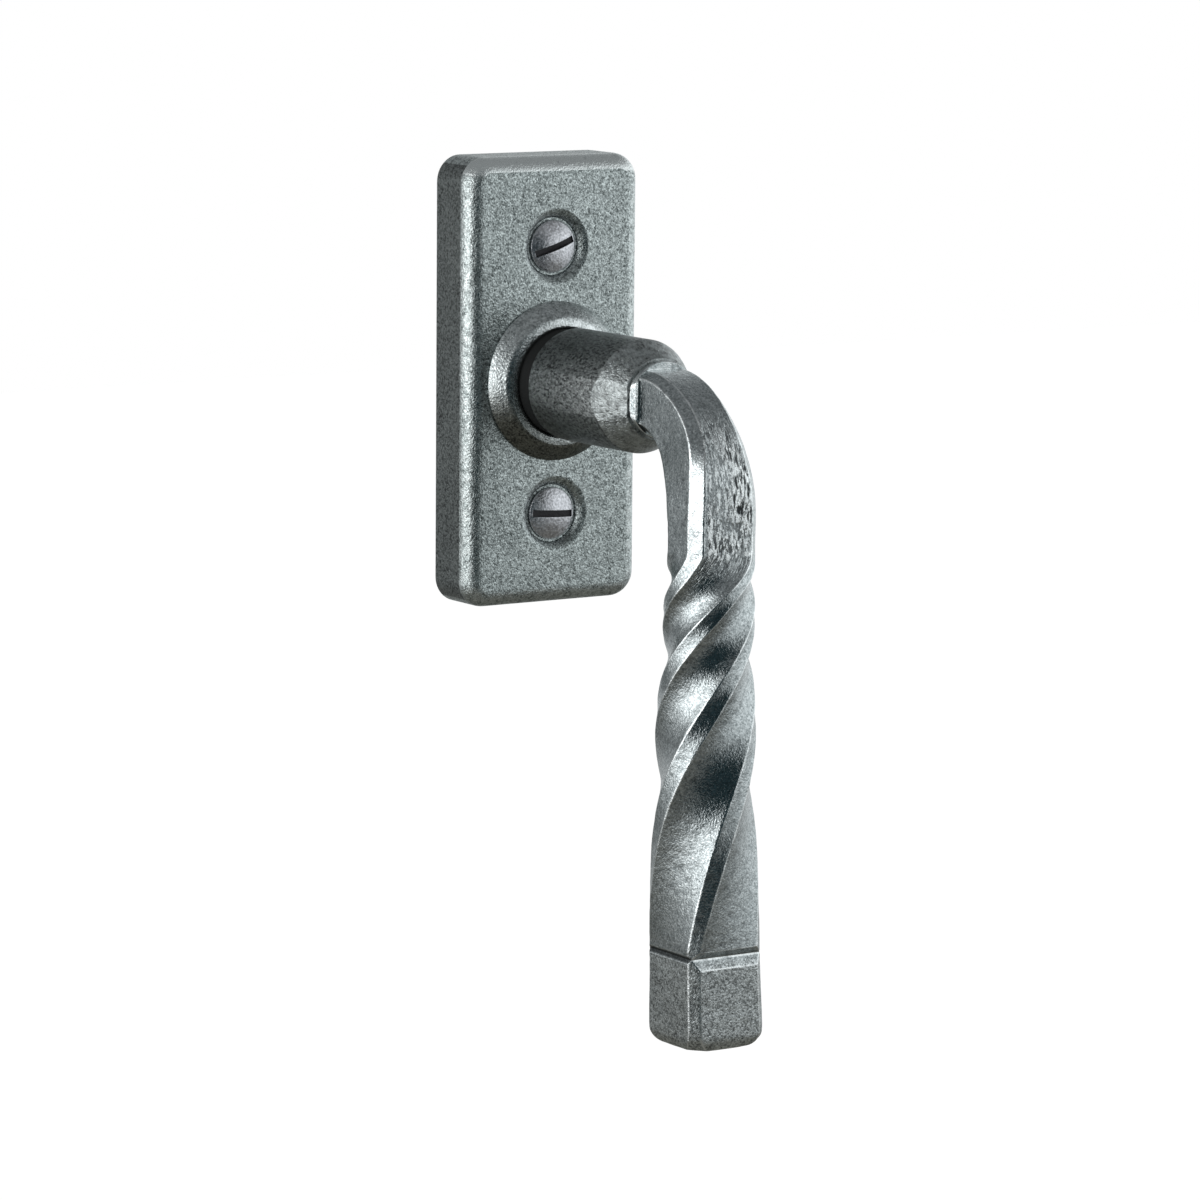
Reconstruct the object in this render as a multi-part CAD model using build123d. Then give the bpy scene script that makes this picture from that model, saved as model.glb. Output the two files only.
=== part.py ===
from build123d import *

from math import cos, exp, log, pi, sin, sqrt
import os

# Window handle with a forged, twisted grip on a narrow cover plate.
#
# Every piece is drawn lying on its back: x to the right, y up the sash and z out into the room, with
# the spindle's axis on z and the sash's face at z = 0.  stand_up() then turns the finished piece, so
# that the room side looks along -Y and +Z is up.  All lengths are millimetres, all turns are degrees.

# Cover plate, a box shell that is open at the back
plate_width = 32.5
plate_height = 72.0
plate_depth = 10.0
plate_wall = 2.4
plate_corner_radius = 4.2
plate_edge_radius = 2.8
least_corner_radius = 0.2

# Fixing screws, and the dished seats that their heads lie in
screw_spacing = 43.0
screw_diameter = 5.0
screw_length = 30.0
screw_head_diameter = 8.4
screw_head_edge = 0.8
screw_dome_height = 0.7
screw_lead = 1.0
screw_plain_diameter = 4.5
screw_plain_reach = 7.0
screw_slot_width = 1.3
screw_slot_depth = 1.2
upper_slot_turn = 18.0
lower_slot_turn = -3.0
dish_diameter = 12.4
dish_depth = 1.3
dish_rim_width = 1.0
dish_rim_drop = 0.4
dish_wall_slope = 0.4

# Locating sleeves, whose noses enter the sash
nose_diameter = 10.0
nose_reach = 5.0
nose_lead = 0.5
sleeve_spigot_diameter = 9.2
sleeve_spigot_length = 4.4

# Square spindle and the pin that holds it in the neck
spindle_size = 7.0
spindle_reach = 19.0
spindle_seat = 20.0
spindle_chamfer = 0.7
pin_diameter = 3.0
pin_place = 12.5

# Turned neck that carries the grip
journal_diameter = 14.0
neck_diameter = 18.0
neck_shoulder_gap = 6.1
neck_length = 19.5
cone_length = 4.8
cone_end_diameter = 13.0
neck_edge_break = 0.4
neck_flats = 12.0
neck_end_land = 1.1

# Nylon bush that the neck runs in
bush_wall = 1.5
bush_flange_diameter = 21.8
bush_flange_thickness = 0.8

# Collar ring on the face of the plate
ring_diameter = 25.6
ring_height = 2.9
ring_edge_height = 0.5
ring_crest_diameter = 18.8
ring_roll_width = 1.1
ring_roll_drop = 0.4
ring_spigot_diameter = 20.0

# Detent: a square cam held between two leaf springs
cam_across_flats = 17.0
cam_corner_diameter = 20.4
cam_thickness = 2.6
leaf_thickness = 0.7
leaf_span = 28.4
leaf_bend_radius = 0.9
leaf_foot_width = 2.0
leaf_room = 1.2
washer_diameter = 19.6
washer_thickness = 0.5
clip_thickness = 1.0
clip_groove_depth = 0.4
clip_width = 2.0
clip_gap = 3.4
clip_ear_diameter = 3.0
clip_ear_hole = 1.2

# Die-cast base inside the plate, and the sheet plate that shuts its spring pocket
base_web_thickness = 1.0
base_core_wall = 2.0
base_core_roof = 1.8
base_rib_thickness = 1.8
boss_wall = 2.6
spring_plate_thickness = 0.8
spring_plate_margin = 0.8
spring_plate_corner = 2.0
peg_diameter = 2.0

# Grip: tenon, neck of the bar, bend, flat upper length, twist and square foot
tenon_diameter = 10.0
tenon_length = 12.0
bar_collar_diameter = 12.2
bar_collar_length = 1.2
bend_radius = 14.25
grip_length = 99.5
bar_root_width = 9.4
bar_width = 12.4
bar_thickness = 9.8
bend_swell = 1.7
bend_swell_share = 1.26
widening_start_share = 0.4
widening_share = 0.72
bar_bow = 0.8
root_chamfer = 1.45
bar_chamfer = 1.8
foot_chamfer = 1.45
twist_turn = 270.0
twist_top = 21.8
twist_length = 61.6
twist_fading = 1.9
twist_easing = 0.02
ridge_wear = 0.7
square_start = 12.0
square_growth = 1.7
square_growth_length = 32.0
square_blend = 6.5
foot_growth = 0.4
foot_point = 2.1
chisel_place = 85.0
chisel_width = 2.7
chisel_depth = 0.8
chisel_steepness = 0.3
chisel_side_share = 0.7

# Steps that the bar's sections are laid out in
bend_step = 15.0
twist_step = 15.0
foot_steps = 4

# Clearances
running_clearance = 0.05
seat_clearance = 0.03
end_play = 0.1
leaf_clearance = 0.05
base_clearance = 0.2
part_gap = 0.3

# Levels along the spindle's axis, out from the sash
inner_face = plate_depth - plate_wall
flange_back = inner_face - bush_flange_thickness
web_back = flange_back - base_web_thickness
cam_front = web_back - end_play
cam_back = cam_front - cam_thickness
washer_back = cam_back - washer_thickness
clip_back = washer_back - clip_thickness
neck_back = clip_back - neck_end_land
shoulder = plate_depth + neck_shoulder_gap
cone_start = shoulder + neck_length
neck_front = cone_start + cone_length
bar_start = neck_front + bar_collar_length / 2

# Sizes that follow from what is carried inside
journal_radius = journal_diameter / 2
bush_radius = journal_radius + running_clearance + bush_wall
clip_bore_radius = journal_radius - clip_groove_depth
cam_room_radius = cam_corner_diameter / 2 + 3 * part_gap
leaf_inner = cam_across_flats / 2 + leaf_clearance
leaf_lift = (cam_corner_diameter - cam_across_flats) / 2
pocket_half_width = leaf_inner + leaf_thickness + leaf_lift + leaf_room / 2
pocket_half_height = leaf_span / 2 + leaf_thickness / 2 + part_gap
screw_hole_radius = screw_diameter / 2 + part_gap / 2
boss_radius = sleeve_spigot_diameter / 2 + boss_wall
seat_level = plate_depth - dish_depth
bend_length = bend_radius * pi / 2
core_start = pocket_half_height + base_core_wall


def stand_up(shape):
    """Turn a piece from the bench position into its place on the sash."""
    return Plane.XZ * shape


def disc(radius, bottom, top):
    """A plain cylinder about the spindle's axis."""
    seated = (Align.CENTER, Align.CENTER, Align.MIN)
    return Pos(0, 0, bottom) * Cylinder(radius, top - bottom, align=seated)


def slab(outline, bottom, top):
    """A flat outline given its thickness between two levels."""
    return Pos(0, 0, bottom) * extrude(outline, top - bottom)


def turned(*edges):
    """A turned piece from its half outline, drawn as radius and level."""
    return revolve(Plane.XZ * make_face(edges), Axis.Z)


def turned_corners(*corners):
    """A turned piece whose half outline has only straight sides."""
    return turned(*Polyline(*corners, close=True).edges())


def at_screws(shape):
    """The same shape at the upper and the lower screw."""
    return [Pos(0, side * screw_spacing / 2) * shape for side in (1, -1)]


def plate_outline(inset):
    """The plate's outline, drawn in from its edge by the same amount all round."""
    corner = max(plate_corner_radius - inset, least_corner_radius)
    return RectangleRounded(plate_width - 2 * inset, plate_height - 2 * inset, corner)


def head_seat():
    """What the dish, the countersink and the screw's hole take out of plate and base."""
    head_radius = screw_head_diameter / 2 + seat_clearance
    cone_bottom = seat_level - (head_radius - screw_hole_radius)
    rim = dish_diameter / 2 - dish_rim_width
    return turned_corners(
        (0, 0),
        (screw_hole_radius, 0),
        (screw_hole_radius, cone_bottom),
        (head_radius, seat_level),
        (rim - dish_wall_slope, seat_level),
        (rim, plate_depth - dish_rim_drop),
        (dish_diameter / 2, plate_depth),
        (dish_diameter / 2, plate_depth + dish_depth),
        (0, plate_depth + dish_depth),
    )


def rose_cover():
    """Box-shaped cover plate with rounded front edges, dished for its two screws."""
    block = extrude(plate_outline(0), plate_depth)
    block = fillet(block.faces().sort_by(Axis.Z)[-1].edges(), plate_edge_radius)
    block -= extrude(plate_outline(plate_wall), inner_face)
    block -= disc(ring_spigot_diameter / 2 + seat_clearance, 0, plate_depth)
    return block - at_screws(head_seat())


def collar_ring():
    """Turned ring: a coned flank that rolls over into the crest, and a spigot set into the plate."""
    bore = bush_radius + seat_clearance
    rim = ring_diameter / 2
    crest = ring_crest_diameter / 2
    top = plate_depth + ring_height
    return turned_corners(
        (rim, plate_depth),
        (rim, plate_depth + ring_edge_height),
        (crest + ring_roll_width, top - ring_roll_drop),
        (crest, top),
        (bore, top),
        (bore, inner_face),
        (ring_spigot_diameter / 2, inner_face),
        (ring_spigot_diameter / 2, plate_depth),
    )


def bearing_bush():
    """Flanged nylon bush between the still ring and base and the turning neck."""
    bore = journal_radius + running_clearance
    return turned_corners(
        (bore, web_back),
        (bush_radius, web_back),
        (bush_radius, flange_back),
        (bush_flange_diameter / 2, flange_back),
        (bush_flange_diameter / 2, inner_face),
        (bush_radius, inner_face),
        (bush_radius, shoulder - end_play),
        (bore, shoulder - end_play),
    )


def base_core():
    """Outline of the pockets that lighten the casting beside its two screw bosses."""
    inset = plate_wall + base_clearance + base_core_wall
    core = plate_outline(inset) - Rectangle(plate_width, 2 * core_start)
    core -= at_screws(Circle(boss_radius))
    core -= Rectangle(base_rib_thickness, plate_height)
    return core - at_screws(Rectangle(plate_width, base_rib_thickness))


def spring_room():
    """Outline of the pocket that the cam turns in, with the springs' slots beside it."""
    slot_width = pocket_half_width - leaf_inner + part_gap
    room = Circle(cam_room_radius)
    for side in (1, -1):
        middle = side * (pocket_half_width - slot_width / 2)
        room += Pos(middle, 0) * Rectangle(slot_width, 2 * pocket_half_height)
    return room


def spring_plate_outline(grow):
    """Outline of the sheet plate over the spring pocket, or of its recess."""
    half_width = pocket_half_width + spring_plate_margin + grow
    half_height = pocket_half_height + spring_plate_margin + grow
    return RectangleRounded(2 * half_width, 2 * half_height, spring_plate_corner + grow)


def peg_places():
    """Middles of the two pegs, in the metal above and below the cam's pocket."""
    height = (cam_room_radius + pocket_half_height + spring_plate_margin) / 2
    return [(0, height), (0, -height)]


def base_plate():
    """Die-cast base: bosses, ribs, the bush's seat and the detent's pocket."""
    body = extrude(plate_outline(plate_wall + base_clearance), inner_face)
    body -= disc(bush_radius + seat_clearance, web_back, flange_back)
    body -= disc(bush_flange_diameter / 2 + seat_clearance, flange_back, inner_face)
    body -= extrude(spring_room(), web_back)
    body -= extrude(base_core(), inner_face - base_core_roof)
    body -= at_screws(disc(sleeve_spigot_diameter / 2 + seat_clearance, 0, sleeve_spigot_length))
    body -= at_screws(head_seat())
    body -= extrude(spring_plate_outline(seat_clearance), spring_plate_thickness)
    for x, y in peg_places():
        body += Pos(x, y) * disc(peg_diameter / 2, 0, spring_plate_thickness)
    return body


def spring_plate():
    """Sheet plate that keeps the leaf springs in, staked on two pegs of the base."""
    opening = journal_radius + clip_width + part_gap
    sheet = spring_plate_outline(0) - Circle(opening)
    for x, y in peg_places():
        sheet -= Pos(x, y) * Circle(peg_diameter / 2 + seat_clearance)
    return extrude(sheet, spring_plate_thickness)


def locating_sleeve(side):
    """Nylon sleeve round a fixing screw, its nose standing out of the back."""
    nose = nose_diameter / 2
    sleeve = turned_corners(
        (screw_hole_radius, -nose_reach),
        (nose - nose_lead, -nose_reach),
        (nose, nose_lead - nose_reach),
        (nose, 0),
        (sleeve_spigot_diameter / 2, 0),
        (sleeve_spigot_diameter / 2, sleeve_spigot_length),
        (screw_hole_radius, sleeve_spigot_length),
    )
    return Pos(0, side * screw_spacing / 2) * sleeve


def fixing_screw(side, slot_turn):
    """Raised countersunk screw with a plain slot."""
    shank = screw_diameter / 2
    head = screw_head_diameter / 2
    rim = seat_level + screw_head_edge
    crown = rim + screw_dome_height
    tip = crown - screw_length
    plain = screw_plain_diameter / 2
    dome = TangentArc((0, crown), (head, rim), tangent=(1, 0))
    rest = Polyline(
        (head, rim),
        (head, seat_level),
        (plain, seat_level - (head - plain)),
        (plain, -screw_plain_reach),
        (shank, -screw_plain_reach),
        (shank, tip + screw_lead),
        (shank - screw_lead / 2, tip),
        (0, tip),
        (0, crown),
    )
    screw = turned(*dome.edges(), *rest.edges())
    slot = Box(2 * screw_head_diameter, screw_slot_width, 2 * screw_slot_depth)
    screw -= Pos(0, 0, crown) * Rot(0, 0, slot_turn) * slot
    return Pos(0, side * screw_spacing / 2) * screw


def leaf_spring(side):
    """Leaf spring on one side of the cam, its ends bent out to bear on the pocket."""
    middle = leaf_inner + leaf_thickness / 2
    toe = pocket_half_width - leaf_clearance
    half = leaf_span / 2
    corners = [(toe, -half), (middle, -half), (middle, half), (toe, half)]
    line = FilletPolyline(*corners, radius=leaf_bend_radius)
    strip = slab(trace(line, leaf_thickness), spring_plate_thickness + end_play, cam_front)
    waist = Rectangle(4 * pocket_half_width, leaf_span - 2 * leaf_foot_width)
    strip -= slab(waist, 0, cam_back)
    return strip if side > 0 else mirror(strip, Plane.YZ)


def double_flat(radius, half_flats):
    """Outline of a shaft with two flats, or of the hole that fits it."""
    return Circle(radius) & Rectangle(2 * half_flats, 4 * radius)


def neck():
    """Turned neck: journal with two flats, thick body, cone, and the holes in both ends."""
    body_radius = neck_diameter / 2
    brk = neck_edge_break
    body = turned_corners(
        (0, neck_back),
        (journal_radius - brk, neck_back),
        (journal_radius, neck_back + brk),
        (journal_radius, shoulder),
        (body_radius - brk, shoulder),
        (body_radius, shoulder + brk),
        (body_radius, cone_start),
        (cone_end_diameter / 2, neck_front),
        (0, neck_front),
    )
    waste = Circle(neck_diameter) - Rectangle(neck_flats, 3 * neck_diameter)
    body -= slab(waste, neck_back - end_play, web_back)
    groove = Circle(neck_diameter) - Circle(clip_bore_radius)
    body -= slab(groove, clip_back - end_play, washer_back)
    hole = spindle_size + 2 * seat_clearance
    body -= slab(Rectangle(hole, hole), neck_back - end_play, spindle_seat + part_gap)
    body -= disc(tenon_diameter / 2 + seat_clearance, neck_front - tenon_length - part_gap, neck_front)
    return body - cross_pin(pin_diameter / 2 + seat_clearance, 2 * neck_diameter)


def cross_pin(radius, length):
    """A cylinder across the neck and the spindle."""
    return Pos(0, 0, pin_place) * Rot(0, 90, 0) * Cylinder(radius, length)


def spindle_pin():
    """Pin through neck and spindle, kept in by the bush round it."""
    return cross_pin(pin_diameter / 2, journal_diameter - 2 * end_play)


def spindle():
    """Square steel spindle that turns the sash's gear."""
    bar = slab(Rectangle(spindle_size, spindle_size), -spindle_reach, spindle_seat)
    ends = bar.faces().filter_by(Axis.Z).edges()
    bar = chamfer(ends, spindle_chamfer)
    return bar - cross_pin(pin_diameter / 2 + seat_clearance, 2 * spindle_size)


def detent_cam():
    """Square cam on the neck's flats, which the leaf springs hold at each quarter turn."""
    square = Rectangle(cam_across_flats, cam_across_flats) & Circle(cam_corner_diameter / 2)
    square -= double_flat(journal_radius + seat_clearance, neck_flats / 2 + seat_clearance)
    return slab(square, cam_back, cam_front)


def thrust_washer():
    """Flat washer between the cam and the retaining ring."""
    sheet = Circle(washer_diameter / 2) - Circle(journal_radius + seat_clearance)
    return slab(sheet, washer_back, cam_back)


def retaining_ring():
    """Spring ring in the neck's groove, open at the bottom, with two eyes."""
    outline = Circle(clip_bore_radius + clip_width)
    ears = [
        Pos(side * (clip_gap + clip_ear_diameter) / 2, -clip_bore_radius - clip_ear_diameter / 2)
        for side in (1, -1)
    ]
    outline += [ear * Circle(clip_ear_diameter / 2) for ear in ears]
    outline -= Circle(clip_bore_radius + seat_clearance)
    outline -= [ear * Circle(clip_ear_hole / 2) for ear in ears]
    outline -= Pos(0, -clip_bore_radius) * Rectangle(clip_gap, 2 * clip_bore_radius)
    return slab(outline, clip_back, washer_back)


def ease(part):
    """Smooth rise from 0 to 1 as part goes from 0 to 1."""
    part = min(max(part, 0), 1)
    return part * part * (3 - 2 * part)


def along_at(drop):
    """Distance along the bar of a point on its straight length, from its drop below the spindle."""
    return bend_length + drop - bend_radius


def bar_plane(along):
    """Plane square to the bar at a distance along it, x to the right and y to its outer side."""
    angle = min(along / bend_radius, pi / 2)
    straight = max(along - bend_length, 0)
    below_twist = max(along - along_at(twist_top), 0) / (grip_length - twist_top)
    middle = (
        -bar_bow * sin(pi * min(below_twist, 1)),
        bend_radius * (cos(angle) - 1) - straight,
        bar_start + bend_radius * sin(angle),
    )
    return Plane(origin=middle, x_dir=(1, 0, 0), z_dir=(0, -sin(angle), cos(angle)))


def twist_at(drop):
    """Turn of the section: quick at the top and fading towards the foot."""
    part = min(max((drop - twist_top) / twist_length, 0), 1)
    eased = sqrt(part * part + twist_easing**2) - twist_easing
    full = sqrt(1 + twist_easing**2) - twist_easing
    return twist_turn * (1 - exp(-twist_fading * eased / full)) / (1 - exp(-twist_fading))


def drop_at_twist(turn):
    """Drop at which the section has turned by this much."""
    full = sqrt(1 + twist_easing**2) - twist_easing
    eased = -log(1 - turn / twist_turn * (1 - exp(-twist_fading))) * full / twist_fading
    part = sqrt((eased + twist_easing) ** 2 - twist_easing**2)
    return twist_top + twist_length * part


def bar_section(along):
    """The bar's cross-section, a square or oblong with cut corners, in its place."""
    drop = along - bend_length + bend_radius
    widening = ease((along / bend_length - widening_start_share) / widening_share)
    width = bar_root_width + (bar_width - bar_root_width) * widening
    swell = bend_swell * sin(min(along / (bend_swell_share * bend_length), 1) * pi) ** 2
    square = square_start + square_growth * ease((drop - twist_top - square_blend) / square_growth_length)
    square += foot_growth * ease((drop - chisel_place) / (grip_length - chisel_place))
    squaring = ease((drop - twist_top) / square_blend)
    width += (square - width) * squaring
    thickness = bar_thickness + (square - bar_thickness) * squaring + swell
    twisted = min(max((drop - twist_top) / twist_length, 0), 1)
    corner = root_chamfer + (bar_chamfer - root_chamfer) * ease(along / bend_length)
    corner += (foot_chamfer - bar_chamfer) * ease(twisted) + ridge_wear * sin(pi * twisted)
    outline = chamfer(Rectangle(width, thickness).vertices(), corner)
    return bar_plane(along) * Rot(0, 0, twist_at(drop)) * Pos(0, -swell / 2) * outline


def bar_stations():
    """Distances along the bar at which its section is drawn, closest where it turns most."""
    bend_count = round(90 / bend_step)
    stations = [bend_length * i / bend_count for i in range(bend_count + 1)]
    stations.append(along_at((bend_radius + twist_top) / 2))
    twist_count = round(twist_turn / twist_step)
    stations += [along_at(drop_at_twist(twist_turn * i / twist_count)) for i in range(twist_count + 1)]
    foot_start = along_at(twist_top + twist_length)
    foot_end = along_at(grip_length)
    stations += [foot_start + (foot_end - foot_start) * i / foot_steps for i in range(1, foot_steps + 1)]
    return stations


def foot_bevel():
    """What the bevel takes off round the end of the foot."""
    end = bar_plane(along_at(grip_length))
    foot = square_start + square_growth + foot_growth
    wide = foot + 2 * foot_point
    narrow = foot - 2 * foot_point
    above = Pos(0, 0, -2 * foot_point) * chamfer(Rectangle(wide, wide).vertices(), foot_chamfer)
    below = chamfer(Rectangle(narrow, narrow).vertices(), foot_chamfer)
    blank = extrude(Rectangle(2 * foot, 2 * foot), -2 * foot_point)
    return end * (blank - loft([above, below], ruled=True))


def chisel_marks():
    """Four chisel cuts round the foot, one on each face, steep above and gentle below."""
    face = (square_start + square_growth) / 2
    cuts = []
    for quarter in range(4):
        depth = chisel_depth if quarter % 2 else chisel_depth * chisel_side_share
        upper = chisel_width * chisel_steepness
        lower = chisel_width - upper
        clear = (depth + chisel_depth) / depth
        notch = Polyline(
            (face - depth, 0),
            (face + chisel_depth, -upper * clear),
            (face + chisel_depth, lower * clear),
            close=True,
        )
        wedge = extrude(Plane.XZ * make_face(notch), 2 * face, both=True)
        cuts.append(bar_plane(along_at(chisel_place)) * Rot(0, 0, 90 * quarter) * wedge)
    return cuts


def lever_bar():
    """Forged bar: tenon, bend, three-quarter twist and square foot with its chisel marks."""
    bar = loft([bar_section(along) for along in bar_stations()])
    bar -= foot_bevel()
    bar += disc(bar_collar_diameter / 2, neck_front, neck_front + bar_collar_length)
    bar += disc(tenon_diameter / 2, neck_front - tenon_length, neck_front)
    return bar - chisel_marks()


def build_parts():
    """Every separate piece by its name."""
    return {
        "rose_cover": rose_cover(),
        "collar_ring": collar_ring(),
        "bearing_bush": bearing_bush(),
        "base_plate": base_plate(),
        "spring_plate": spring_plate(),
        "locating_sleeve_upper": locating_sleeve(1),
        "locating_sleeve_lower": locating_sleeve(-1),
        "fixing_screw_upper": fixing_screw(1, upper_slot_turn),
        "fixing_screw_lower": fixing_screw(-1, lower_slot_turn),
        "leaf_spring_left": leaf_spring(-1),
        "leaf_spring_right": leaf_spring(1),
        "neck": neck(),
        "spindle": spindle(),
        "spindle_pin": spindle_pin(),
        "detent_cam": detent_cam(),
        "thrust_washer": thrust_washer(),
        "retaining_ring": retaining_ring(),
        "lever_bar": lever_bar(),
    }


os.makedirs("parts", exist_ok=True)
for name, piece in build_parts().items():
    export_step(stand_up(piece), f"parts/{name}.step")
    print(name, round(piece.volume, 1), "mm3")
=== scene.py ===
# %% [markdown]
# # A forged window handle
#
# This lesson dresses the handle's CAD model as a photograph shows it: blasted forged steel, a
# twisted bar with worn ridges, a turned ring and neck, and two slotted screws. The CAD model is
# loaded first and never moves. Each visible piece is then made again with mesh operators, finer and
# softer than the CAD solid, and stands in its place.

# %% Load the frame
from math import atan2, cos, exp, pi, radians, sin, sqrt, tan

import bmesh
import bpy
from mathutils import Matrix, Vector, noise


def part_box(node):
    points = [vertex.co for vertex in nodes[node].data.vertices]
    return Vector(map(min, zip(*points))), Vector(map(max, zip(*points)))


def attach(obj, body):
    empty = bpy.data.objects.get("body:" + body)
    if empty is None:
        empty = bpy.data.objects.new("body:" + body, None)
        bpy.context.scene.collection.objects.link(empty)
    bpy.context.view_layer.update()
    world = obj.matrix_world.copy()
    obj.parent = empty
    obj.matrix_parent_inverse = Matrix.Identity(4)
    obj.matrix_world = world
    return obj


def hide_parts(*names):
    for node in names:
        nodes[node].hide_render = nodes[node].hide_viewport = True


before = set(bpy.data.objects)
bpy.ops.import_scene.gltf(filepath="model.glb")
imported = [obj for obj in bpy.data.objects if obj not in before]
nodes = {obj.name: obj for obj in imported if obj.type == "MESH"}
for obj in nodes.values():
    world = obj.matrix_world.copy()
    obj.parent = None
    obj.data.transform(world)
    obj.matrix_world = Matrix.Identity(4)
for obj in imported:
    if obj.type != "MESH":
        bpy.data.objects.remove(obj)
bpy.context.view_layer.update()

print(len(nodes), "nodes loaded")

# %% [markdown]
# ## The bench
#
# The handle is easiest to build lying on its back: x to the right, y up the window and z out into
# the room, in millimetres. One rotation and one scale then stand a finished piece in its place. The
# sizes are read off the CAD nodes, so the pieces fit them by themselves.

# %% Sizes from the CAD nodes
MM = 0.001
UPRIGHT = Matrix.Rotation(pi / 2, 3, "X")


def bench_box(node):
    """Lowest and highest corner of a CAD node on the bench, in millimetres."""
    low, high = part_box(node)
    low, high = low / MM, high / MM
    return Vector((low.x, low.z, -high.y)), Vector((high.x, high.z, -low.y))


plate_low, plate_high = bench_box("rose_cover")
plate_size = plate_high - plate_low
print("cover plate: %.1f x %.1f x %.1f mm" % tuple(plate_size))

# %% From the bench to the window
crisp_angle = 32
SHARP = radians(crisp_angle)


def clean(bm, reach=1e-4):
    """Merge doubles within reach and turn every face outwards."""
    bmesh.ops.remove_doubles(bm, verts=bm.verts, dist=reach)
    bmesh.ops.recalc_face_normals(bm, faces=bm.faces)


def to_object(bm, name):
    """A mesh object from a finished bmesh, still on the bench."""
    mesh = bpy.data.meshes.new(name)
    bm.to_mesh(mesh)
    bm.free()
    thing = bpy.data.objects.new(name, mesh)
    bpy.context.scene.collection.objects.link(thing)
    return thing


def install(thing, node, body, *materials):
    """Stand a piece up, shade it, and let it take the place of its CAD node."""
    thing.data.transform(Matrix.Scale(MM, 4) @ UPRIGHT.to_4x4())
    thing.data.polygons.foreach_set("use_smooth", [True] * len(thing.data.polygons))
    thing.data.set_sharp_from_angle(angle=SHARP)
    for material in materials[len(thing.data.materials) :]:
        thing.data.materials.append(material)
    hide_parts(node)
    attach(thing, body)
    print(thing.name, len(thing.data.polygons), "faces")


print("edges beyond", crisp_angle, "degrees stay crisp")

# %% [markdown]
# ## Bare steel, blasted and waxed
#
# Forged steel is not one grey. Blasting leaves a grain of a few tenths of a millimetre, wax and
# oxide stay in the hollows, and hands rub the ridges bright. It could be painted as an image, but
# noise in object space has no seams and stays sharp from close by. So each steel here is a blend
# of two greys by four patterns at once: cloudy patches, a mottle, a fine grain, and small cells
# with a value each. Marks that the mesh carries then say where it is worn, grimy, pitted or scaly,
# and where a painted highlight or painted shade goes.

# %% A material and its coordinates
def new_material(name):
    """An empty material with its shader."""
    material = bpy.data.materials.new(name)
    material.use_nodes = True
    tree = material.node_tree
    return material, tree, tree.nodes["Principled BSDF"]


def stretch(tree, where, sizes):
    """Count a place in lengths of their own along x, y and z."""
    node = tree.nodes.new("ShaderNodeMapping")
    node.inputs["Scale"].default_value = [1 / size for size in sizes]
    tree.links.new(where, node.inputs["Vector"])
    return node.outputs["Vector"]


def millimetres(tree):
    """Object coordinates counted in millimetres."""
    place = tree.nodes.new("ShaderNodeTexCoord")
    return stretch(tree, place.outputs["Object"], (MM, MM, MM))


def mark_of(tree, name, output="Fac"):
    """A mark that the mesh carries with it."""
    node = tree.nodes.new("ShaderNodeAttribute")
    node.attribute_name = name
    return node.outputs[output]


print("materials count in lengths of", MM, "m")

# %% Noise and cells
def grain(tree, where, size, detail=2.0, roughness=0.5):
    """Noise whose lumps are about this many millimetres across."""
    texture = tree.nodes.new("ShaderNodeTexNoise")
    texture.inputs["Scale"].default_value = 1 / size
    texture.inputs["Detail"].default_value = detail
    texture.inputs["Roughness"].default_value = roughness
    tree.links.new(where, texture.inputs["Vector"])
    return texture.outputs["Fac"]


def cell_grain(tree, where, size):
    """Cells of this many millimetres: the value of each, and the distance to its middle."""
    texture = tree.nodes.new("ShaderNodeTexVoronoi")
    texture.inputs["Scale"].default_value = 1 / size
    tree.links.new(where, texture.inputs["Vector"])
    split = tree.nodes.new("ShaderNodeSeparateColor")
    tree.links.new(texture.outputs["Color"], split.inputs["Color"])
    return split.outputs["Red"], texture.outputs["Distance"]


def remap(tree, value, low, high, to_low=0.0, to_high=1.0):
    """Stretch a value from one range to another and clip it there."""
    node = tree.nodes.new("ShaderNodeMapRange")
    ends = {"From Min": low, "From Max": high, "To Min": to_low, "To Max": to_high}
    for socket, number in ends.items():
        node.inputs[socket].default_value = number
    tree.links.new(value, node.inputs["Value"])
    return node.outputs["Result"]


print("patterns: noise and cells")

# %% Sums, blends and bump
def calculate(tree, operation, *values):
    """One operation on two values, each a socket or a number."""
    node = tree.nodes.new("ShaderNodeMath")
    node.operation = operation
    for socket, value in zip(node.inputs, values):
        if isinstance(value, float):
            socket.default_value = value
        else:
            tree.links.new(value, socket)
    return node.outputs["Value"]


def times(tree, first, second):
    """The product of two values."""
    return calculate(tree, "MULTIPLY", first, second)


def weighted_sum(tree, parts):
    """Add up pairs of a value and its weight."""
    total = times(tree, *parts[0])
    for value, weight in parts[1:]:
        total = calculate(tree, "ADD", total, times(tree, value, weight))
    return total


def blend_colour(tree, share, under, over):
    """Mix two colours, each given as a socket or as three numbers."""
    node = tree.nodes.new("ShaderNodeMix")
    node.data_type = "RGBA"
    tree.links.new(share, node.inputs["Factor"])
    for socket, colour in (("A", under), ("B", over)):
        target = [s for s in node.inputs if s.name == socket and s.type == "RGBA"][0]
        if isinstance(colour, tuple):
            target.default_value = (*colour, 1)
        else:
            tree.links.new(colour, target)
    return [s for s in node.outputs if s.type == "RGBA"][0]


def raise_surface(tree, shader, height):
    """Bump from a height in millimetres."""
    bump = tree.nodes.new("ShaderNodeBump")
    bump.inputs["Strength"].default_value = 1.0
    bump.inputs["Distance"].default_value = MM
    tree.links.new(height, bump.inputs["Height"])
    tree.links.new(bump.outputs["Normal"], shader.inputs["Normal"])


print("sums of values, blends of two colours, and bump")
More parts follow.
